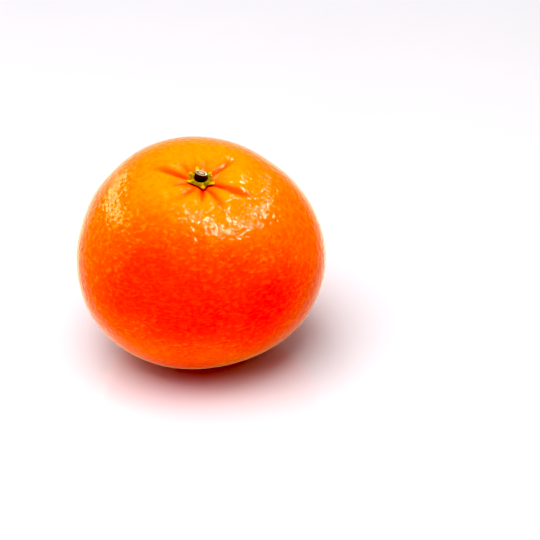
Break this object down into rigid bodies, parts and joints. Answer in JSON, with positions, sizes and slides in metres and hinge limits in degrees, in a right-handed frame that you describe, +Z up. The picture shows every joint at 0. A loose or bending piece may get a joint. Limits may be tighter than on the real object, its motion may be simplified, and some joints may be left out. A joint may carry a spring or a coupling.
{
  "type": "tangerine",
  "caption": "Whole ripe tangerine, flattened round fruit with a furrowed stem end, a star-shaped green calyx and a cut stem stub, lying tilted on its base.",
  "frame": {"origin": "on the table, under the middle of the part's bounding box", "axes": "+Z up; the stem end leans towards -Y, which faces the viewer, and slightly towards +X"},
  "size_m": [0.0652, 0.0648, 0.0559],
  "materials": {
    "peel": "waxy gloss, pebbled with oil glands, golden orange at the stem end and red-orange on the belly",
    "sepal": "satin, olive green with yellow lobes",
    "stem": "rough dark bark with a pale cut face"
  },
  "bodies": {
    "root": {"fruit_body": "peel", "calyx": "sepal", "stem_stub": "stem"}
  },
  "joints": []
}
